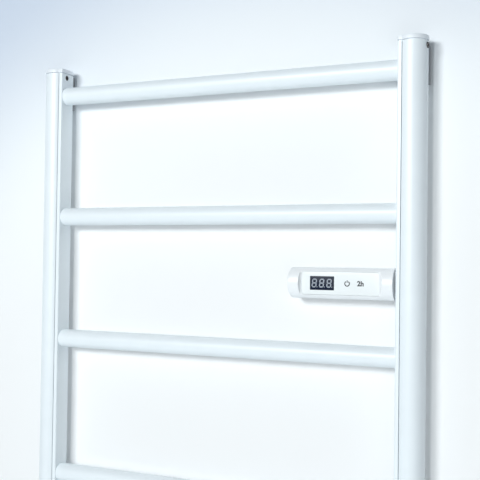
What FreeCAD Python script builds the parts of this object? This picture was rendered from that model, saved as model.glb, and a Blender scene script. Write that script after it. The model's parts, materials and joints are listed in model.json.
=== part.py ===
import FreeCAD, Part
import math
import os
from types import SimpleNamespace

import Sketcher

# Wall-mounted electric towel rail of the ladder type.
# Frame: the wall is the plane Y = 0 and +Y points into it, +X runs to the right as seen from the
# room, +Z is up. The origin is the centre of the four wall screw holes. Lengths are in millimetres.
#
# An upright is a round section with one flattened side, made of two extrusions: a strip with the flat
# inner face and two lips, and a round cover that snaps on from the outer side. "u" is the distance from
# that flat inner face towards the outer side, so both uprights share one description.

DRIVING_SIZES = {
    # overall
    "rail_height": 848,
    "clear_width": 432,
    "stand_off": 20,
    # uprights
    "tube_radius": 15.2,
    "face_depth": 24,
    "web": 2.5,
    "lip_width": 4.5,
    "lip_depth": 4,
    "edge_round": 1.5,
    "groove": 0.8,
    "cover_wall": 1.6,
    # end caps
    "cap_height": 5.5,
    "cap_overhang": 0.8,
    "cap_round": 0.8,
    "cap_corner": 2.4,
    "post_radius": 1.4,
    "post_length": 8,
    # rungs
    "rung_radius": 11,
    "rung_wall": 1.2,
    "rung_pitch": 153,
    "middle_pitch": 168,
    "port_radius": 2.6,
    "port_offset": 7.4,
    "rung_screw_radius": 1.75,
    "screw_head_radius": 2.8,
    "screw_head_height": 2.2,
    # wall fixing
    "bracket_width": 24,
    "bracket_length": 42,
    "bracket_thickness": 4.3,
    "wall_hole_radius": 2.6,
    "wall_hole_height": 390,
    "sink_radius": 5.2,
    "sink_depth": 3,
    "tongue_centre": 15.5,
    "tongue_width": 6,
    "tongue_height": 8,
    "tongue_end": 24,
    "lock_height": 413.5,
    "lock_axis": 21.5,
    "lock_radius": 3,
    "lock_length": 12,
    "play": 0.05,
    # cables
    "heater_radius": 2,
    "supply_radius": 3,
    "lead_radius": 1.6,
    "supply_tail": 60,
    # controller
    "unit_left": 94,
    "unit_right": 213,
    "unit_height": 34,
    "unit_centre": 161.2,
    "unit_crown": 33,
    "unit_sagitta": 9,
    "unit_back": 10,
    "unit_corner": 6,
    "fascia_left": 109.5,
    "fascia_right": 197.5,
    "fascia_height": 25,
    "fascia_thickness": 1.6,
    "lens_left": 119.3,
    "lens_width": 27.9,
    "lens_height": 15.2,
}

doc = FreeCAD.newDocument("towel_rail")
sheet = doc.addObject("Spreadsheet::Sheet", "Sizes")


class Size:
    """A length that carries its value in mm and the sheet formula it comes from."""

    def __init__(self, value, text):
        self.value = float(value)
        self.text = text

    def __add__(self, other):
        other = as_size(other)
        return Size(self.value + other.value, f"({self.text} + {other.text})")

    def __sub__(self, other):
        other = as_size(other)
        return Size(self.value - other.value, f"({self.text} - {other.text})")

    def __mul__(self, other):
        other = as_size(other)
        return Size(self.value * other.value, f"({self.text} * {other.text})")

    def __truediv__(self, other):
        other = as_size(other)
        return Size(self.value / other.value, f"({self.text} / {other.text})")

    def __neg__(self):
        return Size(-self.value, f"(0 - {self.text})")

    __radd__ = __add__
    __rmul__ = __mul__

    def __rsub__(self, other):
        return as_size(other) - self


def as_size(number):
    """A plain number as a Size."""
    if isinstance(number, Size):
        return number
    return Size(number, f"({float(number)})")


def root_of(size):
    return Size(math.sqrt(size.value), f"sqrt({size.text})")


def fill_sheet():
    """Write the driving sizes to the sheet and return them as one namespace of Sizes."""
    sizes = {}
    for row, (name, value) in enumerate(DRIVING_SIZES.items(), start=1):
        sheet.set(f"A{row}", name)
        sheet.set(f"B{row}", str(value))
        sheet.setAlias(f"B{row}", name)
        sizes[name] = Size(value, f"Sizes.{name}")
    doc.recompute()
    return SimpleNamespace(**sizes)


D = fill_sheet()

RUNG_Y = -D.stand_off
BACK = RUNG_Y + D.face_depth / 2
FRONT = RUNG_Y - D.face_depth / 2
PROFILE_HALF = D.rail_height / 2 - D.cap_height
UPPER_RUNGS = [D.middle_pitch / 2 + D.rung_pitch * step for step in (2, 1, 0)]
RUNG_HEIGHTS = UPPER_RUNGS + [-height for height in reversed(UPPER_RUNGS)]
# cutting tools reach this far past the faces that they cut
OVERCUT = 1
LEFT, RIGHT = -1, 1
SIDE_NAMES = {LEFT: "left", RIGHT: "right"}
END_NAMES = {1: "upper", -1: "lower"}


def across(side, u):
    """X of a point that lies u outside the flat inner face of one upright."""
    return side * (D.clear_width / 2 + u)


# --- small helpers for bound geometry ---------------------------------------------------------------


def bind(item, prop, size):
    item.setExpression(prop, as_size(size).text)


def place(item, x, y, z):
    for name, size in (("x", x), ("y", y), ("z", z)):
        bind(item, f".Placement.Base.{name}", size)


def ordered(pair):
    """The two Sizes of a pair, the lower one first."""
    return sorted((as_size(end) for end in pair), key=lambda size: size.value)


def block(name, xs, ys, zs):
    """A box between two X, two Y and two Z values."""
    box = doc.addObject("Part::Box", name)
    spans = [ordered(pair) for pair in (xs, ys, zs)]
    for prop, (low, high) in zip(("Length", "Width", "Height"), spans):
        bind(box, prop, high - low)
    place(box, *(low for low, high in spans))
    return box


TURNS = {
    "x": FreeCAD.Rotation(FreeCAD.Vector(0, 1, 0), 90),
    "y": FreeCAD.Rotation(FreeCAD.Vector(1, 0, 0), -90),
    "z": FreeCAD.Rotation(),
}


def stand_along(item, axis, span, centre):
    """Turn an item made along +Z to an axis and start it at the lower end of its span."""
    low = ordered(span)[0]
    position = list(centre)
    position.insert("xyz".index(axis), low)
    item.Placement = FreeCAD.Placement(FreeCAD.Vector(), TURNS[axis])
    place(item, *position)


def rod(name, radius, axis, span, centre):
    """A cylinder along one axis; centre is its place on the two other axes."""
    cylinder = doc.addObject("Part::Cylinder", name)
    low, high = ordered(span)
    bind(cylinder, "Radius", radius)
    bind(cylinder, "Height", high - low)
    stand_along(cylinder, axis, span, centre)
    return cylinder


def fuse(name, *pieces):
    joined = doc.addObject("Part::MultiFuse", name)
    joined.Shapes = list(pieces)
    return joined


def cut(name, base, *tools):
    difference = doc.addObject("Part::Cut", name)
    difference.Base = base
    difference.Tool = tools[0] if len(tools) == 1 else fuse(f"{name}_tools", *tools)
    return difference


def group(name, pieces):
    """Several identical pieces under one name."""
    compound = doc.addObject("Part::Compound", name)
    compound.Links = list(pieces)
    return compound


def tube(name, outer, inner, axis, span, centre):
    skin = rod(f"{name}_outside", outer, axis, span, centre)
    bore = rod(f"{name}_bore", inner, axis, span, centre)
    return cut(name, skin, bore)


def screw(name, side, u_head, u_tip, y, z):
    """A pan head screw that points towards the rungs from inside an upright."""
    centre = (y, z)
    head_top = across(side, u_head + D.screw_head_height)
    seat = across(side, u_head)
    head = rod(f"{name}_head", D.screw_head_radius, "x", (seat, head_top), centre)
    shank = rod(f"{name}_shank", D.rung_screw_radius, "x", (across(side, u_tip), seat), centre)
    return fuse(name, head, shank)


# --- sketches ---------------------------------------------------------------------------------------


def new_body(name):
    return doc.addObject("PartDesign::Body", name)


def sketch_on(body, plane, offset=None):
    """A sketch on one of the body's own origin planes, moved along the plane's normal."""
    sketch = body.newObject("Sketcher::SketchObject", f"{body.Name}_sketch")
    support = [item for item in body.Origin.OriginFeatures if item.Role == plane][0]
    sketch.AttachmentSupport = [(support, "")]
    sketch.MapMode = "FlatFace"
    if offset is not None:
        bind(sketch, ".AttachmentOffset.Base.z", offset)
    return sketch


def fix_point(sketch, edge, end, x, y):
    """Hold one end of an edge at a bound distance from the sketch's origin."""
    for kind, size in (("DistanceX", as_size(x)), ("DistanceY", as_size(y))):
        number = sketch.addConstraint(Sketcher.Constraint(kind, -1, 1, edge, end, size.value))
        sketch.setExpression(f"Constraints[{number}]", size.text)


def fix_radius(sketch, edge, radius):
    number = sketch.addConstraint(Sketcher.Constraint("Radius", edge, as_size(radius).value))
    sketch.setExpression(f"Constraints[{number}]", as_size(radius).text)


def vector(point):
    return FreeCAD.Vector(as_size(point[0]).value, as_size(point[1]).value, 0)


def draw_outline(sketch, steps, closed=True):
    """Draw edges from corner to corner.

    A step (x, y) is reached by a straight edge, and a step (x, y, radius, centre_x, centre_y)
    by an arc of less than half a turn.
    """
    first = 0 if closed else 1
    ends = []
    for index in range(first, len(steps)):
        start, stop = steps[index - 1], steps[index]
        begin, finish = vector(start), vector(stop)
        begin_end, finish_end = 1, 2
        if len(stop) == 2:
            edge = sketch.addGeometry(Part.LineSegment(begin, finish))
        else:
            centre = vector(stop[3:])
            outward = (begin + finish) * 0.5 - centre
            middle = centre + outward.normalize() * stop[2].value
            edge = sketch.addGeometry(Part.Arc(begin, middle, finish))
            if (begin - centre).cross(finish - centre).z < 0:
                begin_end, finish_end = 2, 1
            fix_radius(sketch, edge, stop[2])
        fix_point(sketch, edge, finish_end, stop[0], stop[1])
        ends.append((edge, begin_end, finish_end))
    for before, after in zip(ends, ends[1:]):
        sketch.addConstraint(Sketcher.Constraint("Coincident", before[0], before[2], after[0], after[1]))
    if closed:
        last, start = ends[-1], ends[0]
        sketch.addConstraint(Sketcher.Constraint("Coincident", last[0], last[2], start[0], start[1]))
    else:
        fix_point(sketch, ends[0][0], ends[0][1], steps[0][0], steps[0][1])


def draw_circle(sketch, x, y, radius):
    ring = Part.Circle(vector((x, y)), FreeCAD.Vector(0, 0, 1), as_size(radius).value)
    edge = sketch.addGeometry(ring)
    fix_radius(sketch, edge, radius)
    fix_point(sketch, edge, 3, x, y)


def draw_rectangle(sketch, xs, ys):
    (left, right), (low, high) = ordered(xs), ordered(ys)
    draw_outline(sketch, [(left, low), (right, low), (right, high), (left, high)])


def pad(body, sketch, length, symmetric=False, reverse=False):
    feature = body.newObject("PartDesign::Pad", f"{body.Name}_pad")
    feature.Profile = sketch
    bind(feature, "Length", length)
    if symmetric:
        feature.SideType = "Symmetric"
    feature.Reversed = reverse
    return feature


def pocket(body, sketch, length=None, reverse=False):
    """Cut to a length against the sketch's normal, or right through both ways without one."""
    feature = body.newObject("PartDesign::Pocket", f"{body.Name}_pocket")
    feature.Profile = sketch
    feature.Reversed = reverse
    if length is None:
        feature.Type = "ThroughAll"
        feature.SideType = "Symmetric"
    else:
        bind(feature, "Length", length)
    return feature


# --- uprights ---------------------------------------------------------------------------------------


def cover_curve(inset):
    """The round of the cover, moved inwards by an inset; its axis lies in the plane of the rungs."""
    half_depth = D.face_depth / 2
    chord = root_of(D.tube_radius * D.tube_radius - half_depth * half_depth)
    centre_u = D.lip_width + D.groove + chord
    radius = D.tube_radius - inset
    return SimpleNamespace(centre_u=centre_u, radius=radius, rim=centre_u + radius)


def round_edge(curve, u):
    """Distance of the round from the plane of the rungs, at a given u."""
    return root_of(curve.radius * curve.radius - (curve.centre_u - u) * (curve.centre_u - u))


def mirrored(side, steps):
    """Turn (u, y) steps into X, Y steps of one upright."""
    result = []
    for step in steps:
        if len(step) == 2:
            result.append((across(side, step[0]), step[1]))
        else:
            u, y, radius, centre_u, centre_y = step
            result.append((across(side, u), y, radius, across(side, centre_u), centre_y))
    return result


def channel_outline():
    """The strip with its two lips."""
    edge = D.edge_round
    lip_end = D.face_depth / 2 - D.lip_depth
    return [
        (as_size(0), FRONT + edge),
        (edge, FRONT, edge, edge, FRONT + edge),
        (D.lip_width, FRONT),
        (D.lip_width, RUNG_Y - lip_end),
        (D.web, RUNG_Y - lip_end),
        (D.web, RUNG_Y + lip_end),
        (D.lip_width, RUNG_Y + lip_end),
        (D.lip_width, BACK),
        (edge, BACK),
        (as_size(0), BACK - edge, edge, edge, BACK - edge),
    ]


LEG_THICKNESS = 1
HOOK_THICKNESS = 1.3
HOOK_PLAY = 0.1
HOOK_GAP = 0.9


def cover_outline():
    """The round skin, with a hook along each edge that grips behind a lip of the strip."""
    outer = cover_curve(as_size(0))
    inner = cover_curve(D.cover_wall)
    edge = D.lip_width + D.groove
    leg = edge + LEG_THICKNESS
    hook_tip = D.web + HOOK_GAP
    hook_near = D.face_depth / 2 - D.lip_depth - HOOK_PLAY
    hook_far = hook_near - HOOK_THICKNESS
    leg_root = round_edge(inner, leg)
    return [
        (edge, FRONT),
        (outer.rim, RUNG_Y, outer.radius, outer.centre_u, RUNG_Y),
        (edge, BACK, outer.radius, outer.centre_u, RUNG_Y),
        (edge, RUNG_Y + hook_near),
        (hook_tip, RUNG_Y + hook_near),
        (hook_tip, RUNG_Y + hook_far),
        (leg, RUNG_Y + hook_far),
        (leg, RUNG_Y + leg_root),
        (inner.rim, RUNG_Y, inner.radius, inner.centre_u, RUNG_Y),
        (leg, RUNG_Y - leg_root, inner.radius, inner.centre_u, RUNG_Y),
        (leg, RUNG_Y - hook_far),
        (hook_tip, RUNG_Y - hook_far),
        (hook_tip, RUNG_Y - hook_near),
        (edge, RUNG_Y - hook_near),
    ]


GROMMET_WALL = 1.2
GROMMET_FLANGE = 1
LEAD_Y = RUNG_Y + 5
UNIT_SCREW_Y = as_size(-22.5)
UNIT_SCREW_STEP = 9.5


def make_channel(side):
    body = new_body(f"{SIDE_NAMES[side]}_upright")
    section = sketch_on(body, "XY_Plane")
    draw_outline(section, mirrored(side, channel_outline()))
    pad(body, section, 2 * PROFILE_HALF, symmetric=True)

    holes = sketch_on(body, "YZ_Plane")
    for height in RUNG_HEIGHTS:
        draw_circle(holes, RUNG_Y, height, D.heater_radius + GROMMET_WALL)
        for step in (-1, 1):
            draw_circle(holes, RUNG_Y, height + step * D.port_offset, D.rung_screw_radius)
    if side == LEFT:
        for end in (-1, 1):
            draw_circle(holes, -D.lock_axis, end * D.lock_height, D.lock_radius + SCREW_PLAY)
    else:
        draw_circle(holes, LEAD_Y, D.unit_centre, D.lead_radius)
        for step in (-1, 1):
            centre_z = D.unit_centre + step * UNIT_SCREW_STEP
            draw_circle(holes, UNIT_SCREW_Y, centre_z, D.rung_screw_radius)
    pocket(body, holes, D.clear_width / 2 + D.web + OVERCUT, reverse=(side == RIGHT))
    return body


SLOT_PLAY = 0.2
SCREW_PLAY = 0.4


def make_cover(side):
    body = new_body(f"{SIDE_NAMES[side]}_cover")
    section = sketch_on(body, "XY_Plane")
    draw_outline(section, mirrored(side, cover_outline()))
    pad(body, section, 2 * PROFILE_HALF, symmetric=True)
    half_width = D.tongue_width / 2 + SLOT_PLAY
    half_height = D.tongue_height / 2 + SLOT_PLAY
    middle_x = across(side, D.tongue_centre)
    slots = sketch_on(body, "XZ_Plane", D.stand_off / 2)
    for end in (-1, 1):
        middle_z = end * D.lock_height
        draw_rectangle(
            slots,
            (middle_x - half_width, middle_x + half_width),
            (middle_z - half_height, middle_z + half_height),
        )
    pocket(body, slots, D.stand_off / 2)
    if side == RIGHT:
        holes = sketch_on(body, "YZ_Plane", middle_x)
        for end in (-1, 1):
            draw_circle(holes, -D.lock_axis, end * D.lock_height, D.lock_radius + SCREW_PLAY)
        pocket(body, holes, D.tube_radius, reverse=True)
    return body


def cap_outline():
    over = D.cap_overhang
    corner = D.cap_corner
    curve = cover_curve(-D.cap_overhang)
    back = BACK + over
    front = FRONT - over
    half_depth = D.face_depth / 2 + over
    start = curve.centre_u - root_of(curve.radius * curve.radius - half_depth * half_depth)
    return [
        (-over, front + corner),
        (corner - over, front, corner, corner - over, front + corner),
        (start, front),
        (curve.rim, RUNG_Y, curve.radius, curve.centre_u, RUNG_Y),
        (start, back, curve.radius, curve.centre_u, RUNG_Y),
        (corner - over, back),
        (-over, back - corner, corner, corner - over, back - corner),
    ]


POST_PLACES = ((23, -15.6), (4.6, -15.6))
SUPPLY_U = 9.3
GLAND_RADIUS = 4


def post_places(side, end):
    """Places of a cap's posts; the one nearer the rungs is left out where the supply cable passes."""
    return POST_PLACES[:1] if (side, end) == (RIGHT, -1) else POST_PLACES


def make_cap(side, end):
    """A moulded end cap with posts that push into the mounting block."""
    body = new_body(f"{END_NAMES[end]}_{SIDE_NAMES[side]}_cap")
    plate = sketch_on(body, "XY_Plane")
    draw_outline(plate, mirrored(side, cap_outline()))
    top = pad(body, plate, D.cap_height, reverse=(end < 0))
    doc.recompute()

    rounding = body.newObject("PartDesign::Fillet", f"{body.Name}_round")
    outer_level = end * D.cap_height.value
    rim = [
        f"Edge{number}"
        for number, edge in enumerate(top.Shape.Edges, start=1)
        if abs(edge.BoundBox.ZMin - outer_level) < 0.01 and abs(edge.BoundBox.ZMax - outer_level) < 0.01
    ]
    rounding.Base = (top, rim)
    bind(rounding, "Radius", D.cap_round)
    doc.recompute()

    posts = sketch_on(body, "XY_Plane")
    for u, y in post_places(side, end):
        draw_circle(posts, across(side, u), y, D.post_radius)
    pad(body, posts, D.post_length, reverse=(end > 0))
    if (side, end) == (RIGHT, -1):
        gland_hole = sketch_on(body, "XY_Plane")
        draw_circle(gland_hole, across(side, SUPPLY_U), LEAD_Y, GLAND_RADIUS)
        pocket(body, gland_hole)
    bind(body, ".Placement.Base.z", end * PROFILE_HALF)
    return body


# --- rungs ------------------------------------------------------------------------------------------


def make_rung(number, height):
    """An extruded tube with two screw ports along its inside wall."""
    body = new_body(f"rung_{number}")
    ring = sketch_on(body, "YZ_Plane")
    draw_circle(ring, 0, 0, D.rung_radius)
    draw_circle(ring, 0, 0, D.rung_radius - D.rung_wall)
    pad(body, ring, D.clear_width, symmetric=True)
    ports = sketch_on(body, "YZ_Plane")
    for step in (-1, 1):
        draw_circle(ports, 0, step * D.port_offset, D.port_radius)
        draw_circle(ports, 0, step * D.port_offset, D.rung_screw_radius)
    pad(body, ports, D.clear_width, symmetric=True)
    bind(body, ".Placement.Base.y", RUNG_Y)
    bind(body, ".Placement.Base.z", height)
    return body


RUNG_SCREW_TIP_U = as_size(-10)


def make_rung_screws():
    screws = []
    for side in (LEFT, RIGHT):
        for height in RUNG_HEIGHTS:
            for step in (-1, 1):
                name = f"rung_screw_{len(screws) + 1}"
                centre_z = height + step * D.port_offset
                screws.append(screw(name, side, D.web, RUNG_SCREW_TIP_U, RUNG_Y, centre_z))
    return group("rung_screws", screws)


# how far a bush stands out of either face of the web
NECK_REACH = 1.2


def make_grommet(name, side, height):
    """An insulating bush with a flange on either face of the channel web."""
    centre = (RUNG_Y, height)
    neck_radius = D.heater_radius + GROMMET_WALL
    neck_span = (across(side, -NECK_REACH), across(side, D.web + NECK_REACH))
    neck = rod(f"{name}_neck", neck_radius, "x", neck_span, centre)
    flange_radius = neck_radius + GROMMET_FLANGE
    outer_span = (across(side, D.web), across(side, D.web + GROMMET_FLANGE))
    inner_span = (across(side, -GROMMET_FLANGE), across(side, 0))
    outer = rod(f"{name}_outer_flange", flange_radius, "x", outer_span, centre)
    inner = rod(f"{name}_inner_flange", flange_radius, "x", inner_span, centre)
    bore_span = (across(side, -NECK_REACH - OVERCUT), across(side, D.web + NECK_REACH + OVERCUT))
    bore = rod(f"{name}_bore", D.heater_radius, "x", bore_span, centre)
    return cut(name, fuse(f"{name}_solid", neck, outer, inner), bore)


def make_grommets():
    grommets = []
    for side in (LEFT, RIGHT):
        for height in RUNG_HEIGHTS:
            grommets.append(make_grommet(f"grommet_{len(grommets) + 1}", side, height))
    return group("rung_grommets", grommets)


# --- wall fixing ------------------------------------------------------------------------------------


def make_bracket(side, end):
    """A wall plate with a countersunk screw hole and the tongue that carries the rail."""
    name = f"{END_NAMES[end]}_{SIDE_NAMES[side]}_bracket"
    x = across(side, D.tongue_centre)
    half = D.bracket_width / 2
    outer_z = D.lock_height + D.tongue_height / 2
    face = -D.bracket_thickness
    plate = block(
        f"{name}_plate", (x - half, x + half), (face, 0),
        (end * (outer_z - D.bracket_length), end * outer_z),
    )
    tongue = block(
        f"{name}_tongue", (x - D.tongue_width / 2, x + D.tongue_width / 2), (-D.tongue_end, face),
        (end * (outer_z - D.tongue_height), end * outer_z),
    )
    centre = (x, end * D.wall_hole_height)
    hole = rod(f"{name}_hole", D.wall_hole_radius, "y", (face - OVERCUT, OVERCUT), centre)
    sink = doc.addObject("Part::Cone", f"{name}_sink")
    bind(sink, "Radius1", D.sink_radius)
    bind(sink, "Radius2", D.wall_hole_radius)
    bind(sink, "Height", D.sink_depth)
    stand_along(sink, "y", (face, face + D.sink_depth), centre)
    return cut(name, fuse(f"{name}_solid", plate, tongue), hole, sink)


BLOCK_OUTER_U = 25.8
BLOCK_BACK = -13.6
BLOCK_FRONT = -25.2
BLOCK_HEIGHT = 16.5
POST_HOLE_PLAY = 0.5


def make_mounting_block(side, end):
    """The insert in an upright's end: slot for the tongue, thread for the lock screw, post holes."""
    name = f"{END_NAMES[end]}_{SIDE_NAMES[side]}_mounting_block"
    x = across(side, D.tongue_centre)
    outer_z = end * PROFILE_HALF
    inner_z = end * (PROFILE_HALF - BLOCK_HEIGHT)
    solid = block(
        f"{name}_solid", (across(side, D.web), across(side, BLOCK_OUTER_U)),
        (BLOCK_BACK, BLOCK_FRONT), (inner_z, outer_z),
    )
    half_width = D.tongue_width / 2 + D.play
    half_height = D.tongue_height / 2 + D.play
    lock_z = end * D.lock_height
    slot = block(
        f"{name}_slot", (x - half_width, x + half_width), (BLOCK_BACK + OVERCUT, BLOCK_FRONT - OVERCUT),
        (lock_z - half_height, lock_z + half_height),
    )
    free_u = D.web - OVERCUT if side == LEFT else BLOCK_OUTER_U + OVERCUT
    thread_span = (x, across(side, free_u))
    thread = rod(f"{name}_thread", D.lock_radius + D.play, "x", thread_span, (-D.lock_axis, lock_z))
    tools = [slot, thread]
    for number, (u, y) in enumerate(post_places(side, end)):
        span = (outer_z, end * (PROFILE_HALF - D.post_length - POST_HOLE_PLAY))
        centre = (across(side, u), as_size(y))
        tools.append(rod(f"{name}_post_hole_{number}", D.post_radius + D.play, "z", span, centre))
    if (side, end) == (RIGHT, -1):
        centre = (across(side, SUPPLY_U), LEAD_Y)
        tools.append(rod(f"{name}_cable_hole", D.supply_radius, "z", (outer_z, inner_z), centre))
    return cut(name, solid, *tools)


# hex socket's corner radius as a share of the screw's radius
SOCKET_SHARE = 0.56


def make_lock_screw(side, end):
    """A socket set screw; its tip stops just short of the tongue's side."""
    name = f"{END_NAMES[end]}_{SIDE_NAMES[side]}_lock_screw"
    tip = across(side, D.tongue_centre) + D.tongue_width / 2 + D.play
    head = tip + D.lock_length
    centre = (-D.lock_axis, end * D.lock_height)
    shank = rod(f"{name}_shank", D.lock_radius, "x", (tip, head), centre)
    socket = doc.addObject("Part::Prism", f"{name}_socket")
    socket.Polygon = 6
    bind(socket, "Circumradius", D.lock_radius * SOCKET_SHARE)
    bind(socket, "Height", D.lock_length / 2)
    stand_along(socket, "x", (head - D.lock_length / 2, head), centre)
    return cut(name, shank, socket)


# --- cables -----------------------------------------------------------------------------------------


def bent_path(corners, bend):
    """Steps along a path of level and upright runs, with the inner corners rounded."""
    steps = [corners[0]]
    for before, corner, after in zip(corners, corners[1:], corners[2:]):
        arrive = [sign(before[axis], corner[axis]) for axis in (0, 1)]
        leave = [sign(corner[axis], after[axis]) for axis in (0, 1)]
        start = [corner[axis] - arrive[axis] * bend for axis in (0, 1)]
        stop = [corner[axis] + leave[axis] * bend for axis in (0, 1)]
        centre = [start[axis] + leave[axis] * bend for axis in (0, 1)]
        steps.append(tuple(start))
        steps.append((stop[0], stop[1], bend, centre[0], centre[1]))
    steps.append(corners[-1])
    return steps


def sign(begin, finish):
    """Direction from one Size to another: -1, 0 or 1."""
    change = finish.value - begin.value
    return 0 if abs(change) < 1e-9 else int(math.copysign(1, change))


def make_cable(name, radius, corners, plane_y, bend):
    """A round cable along an (x, z) path in a plane parallel to the wall."""
    path = doc.addObject("Sketcher::SketchObject", f"{name}_path")
    path.Placement = FreeCAD.Placement(
        FreeCAD.Vector(), FreeCAD.Rotation(FreeCAD.Vector(1, 0, 0), 90)
    )
    bind(path, ".Placement.Base.y", plane_y)
    corners = [(as_size(x), as_size(z)) for x, z in corners]
    draw_outline(path, bent_path(corners, as_size(bend)), closed=False)
    section = doc.addObject("Part::Circle", f"{name}_section")
    bind(section, "Radius", radius)
    if sign(corners[0][0], corners[1][0]):
        section.Placement = FreeCAD.Placement(FreeCAD.Vector(), TURNS["x"])
    place(section, corners[0][0], plane_y, corners[0][1])
    doc.recompute()
    cable = doc.addObject("Part::Sweep", name)
    cable.Sections = [section]
    cable.Spine = (path, [f"Edge{number + 1}" for number in range(len(path.Shape.Edges))])
    cable.Solid = True
    cable.Frenet = False
    return cable


TERMINAL_HALF = 14
HEATER_LEAD_U = 19.5
HEATER_LOOP_U = 12
HEATER_BEND = 7
LEAD_BEND = 7
TERMINAL_US = (7, 25)
TERMINAL_YS = (-14, -24)
CUTOUT_RADIUS = 3.8
CUTOUT_ZS = (290, 312)


def make_heating_cable():
    """One cable through all rungs, from the terminal block and back to it."""
    lead_x = across(RIGHT, HEATER_LEAD_U)
    corners = [(lead_x, as_size(-TERMINAL_HALF)), (lead_x, RUNG_HEIGHTS[-1])]
    side = LEFT
    heights = list(reversed(RUNG_HEIGHTS))
    for lower, upper in zip(heights, heights[1:]):
        turn_x = across(side, HEATER_LOOP_U)
        corners += [(turn_x, lower), (turn_x, upper)]
        side = -side
    corners += [(lead_x, RUNG_HEIGHTS[0]), (lead_x, as_size(TERMINAL_HALF))]
    return make_cable("heating_cable", D.heater_radius, corners, RUNG_Y, HEATER_BEND)


def make_wiring():
    supply_x = across(RIGHT, SUPPLY_U)
    supply = rod(
        "supply_cable", D.supply_radius, "z",
        (-D.rail_height / 2 - D.supply_tail, -TERMINAL_HALF), (supply_x, LEAD_Y),
    )
    lead_corners = [
        (supply_x, as_size(TERMINAL_HALF)),
        (supply_x, D.unit_centre),
        (as_size(CONNECTOR_RIGHT), D.unit_centre),
    ]
    lead = make_cable("control_lead", D.lead_radius, lead_corners, LEAD_Y, LEAD_BEND)
    terminal_xs = [across(RIGHT, u) for u in TERMINAL_US]
    terminal_block = block("terminal_block", terminal_xs, TERMINAL_YS, (-TERMINAL_HALF, TERMINAL_HALF))
    cutout_centre = (across(RIGHT, HEATER_LEAD_U), RUNG_Y)
    cutout = tube("thermal_cutout", CUTOUT_RADIUS, D.heater_radius, "z", CUTOUT_ZS, cutout_centre)
    return [supply, lead, terminal_block, cutout]


GLAND_FLANGE = 2
GLAND_FLANGE_DEPTH = 3
# the sleeve ends inside the flange
GLAND_SLEEVE_DEPTH = 2


def make_cable_gland():
    """A bush in the lower right cap with a flange under it."""
    centre = (across(RIGHT, SUPPLY_U), LEAD_Y)
    low = -D.rail_height / 2
    sleeve = rod("gland_sleeve", GLAND_RADIUS, "z", (low - GLAND_SLEEVE_DEPTH, -PROFILE_HALF), centre)
    flange = rod("gland_flange", GLAND_RADIUS + GLAND_FLANGE, "z", (low - GLAND_FLANGE_DEPTH, low), centre)
    bore_span = (low - GLAND_FLANGE_DEPTH - OVERCUT, -PROFILE_HALF + OVERCUT)
    bore = rod("gland_bore", D.supply_radius, "z", bore_span, centre)
    return cut("cable_gland", fuse("gland_solid", sleeve, flange), bore)


EARTH_Y = as_size(-22)
EARTH_Z = as_size(-35)
STUD_RADIUS = 2
STUD_END_U = 12
NUT_RADIUS = 3.4
NUT_END_U = as_size(11)
RING_RADIUS = 4
RING_US = (as_size(6.2), as_size(7.8))
STRAND_RADIUS = 0.7
STRAND_U = 7
STRAND_LOW = -32


def make_earth():
    """The earth stud on the channel web, its two nuts, and the wire with its ring between them."""
    centre = (EARTH_Y, EARTH_Z)
    stud = rod("earth_stud", STUD_RADIUS, "x", (across(RIGHT, D.web), across(RIGHT, STUD_END_U)), centre)
    nuts = []
    for number, span in enumerate(((D.web, RING_US[0]), (RING_US[1], NUT_END_U))):
        ends = (across(RIGHT, span[0]), across(RIGHT, span[1]))
        body = doc.addObject("Part::Prism", f"earth_nut_{number}_body")
        body.Polygon = 6
        bind(body, "Circumradius", NUT_RADIUS)
        bind(body, "Height", span[1] - span[0])
        stand_along(body, "x", ends, centre)
        bore = rod(f"earth_nut_{number}_bore", STUD_RADIUS, "x", ends, centre)
        nuts.append(cut(f"earth_nut_{number}", body, bore))
    ring_span = [across(RIGHT, u) for u in RING_US]
    ring = rod("earth_ring", RING_RADIUS, "x", ring_span, centre)
    strand_span = (STRAND_LOW, -TERMINAL_HALF)
    wire = rod("earth_strand", STRAND_RADIUS, "z", strand_span, (across(RIGHT, STRAND_U), EARTH_Y))
    ring_bore = rod("earth_ring_bore", STUD_RADIUS, "x", ring_span, centre)
    return [stud, group("earth_nuts", nuts), cut("earth_wire", fuse("earth_joined", ring, wire), ring_bore)]


# --- controller -------------------------------------------------------------------------------------

HOUSING_WALL = 3
FRONT_WALL = 2
# the recess of the fascia: flat margins beside it, and ramps out to the rounded front
RECESS_LEFT_MARGIN = 1.6
RECESS_RIGHT_MARGIN = 1
RECESS_LEFT_RAMP = 5.4
RECESS_RIGHT_RAMP = 2.4
OPENING_MARGIN = 3
OPENING_HALF = 10.5
OPENING_DEPTH = 5
REAR_COVER_THICKNESS = 1.6
# circuit board and components: X spans, and half heights about the controller's middle
PCB_FRONT = -20.6
PCB_BACK = -19
COMPONENT_BACK = -12.6
BOARD_XS = (112, 196)
BOARD_HALF = 12
DISPLAY_MARGIN = 1
DISPLAY_HALF = 7
KEY_XS = (162, 177)
KEY_RADIUS = 3.2
RELAY_XS = (150, 168)
RELAY_DROPS = (11, 1)
POWER_XS = (116, 138)
POWER_HALF = 8
CONNECTOR_LEFT = 186
CONNECTOR_RIGHT = 204
CONNECTOR_HALF = 6
GASKET_YS = (-12, -26)
GASKET_HALF = 13.5


def barrel():
    """Radius and centre of the controller's rounded front, and where its flat face lies."""
    half = D.unit_height / 2
    radius = (half * half + D.unit_sagitta * D.unit_sagitta) / (2 * D.unit_sagitta)
    centre_y = radius - D.unit_crown
    flat_half = D.fascia_height / 2 + 0.5
    flat_y = centre_y - root_of(radius * radius - flat_half * flat_half)
    return SimpleNamespace(half=half, radius=radius, centre_y=centre_y, flat_y=flat_y)


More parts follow.
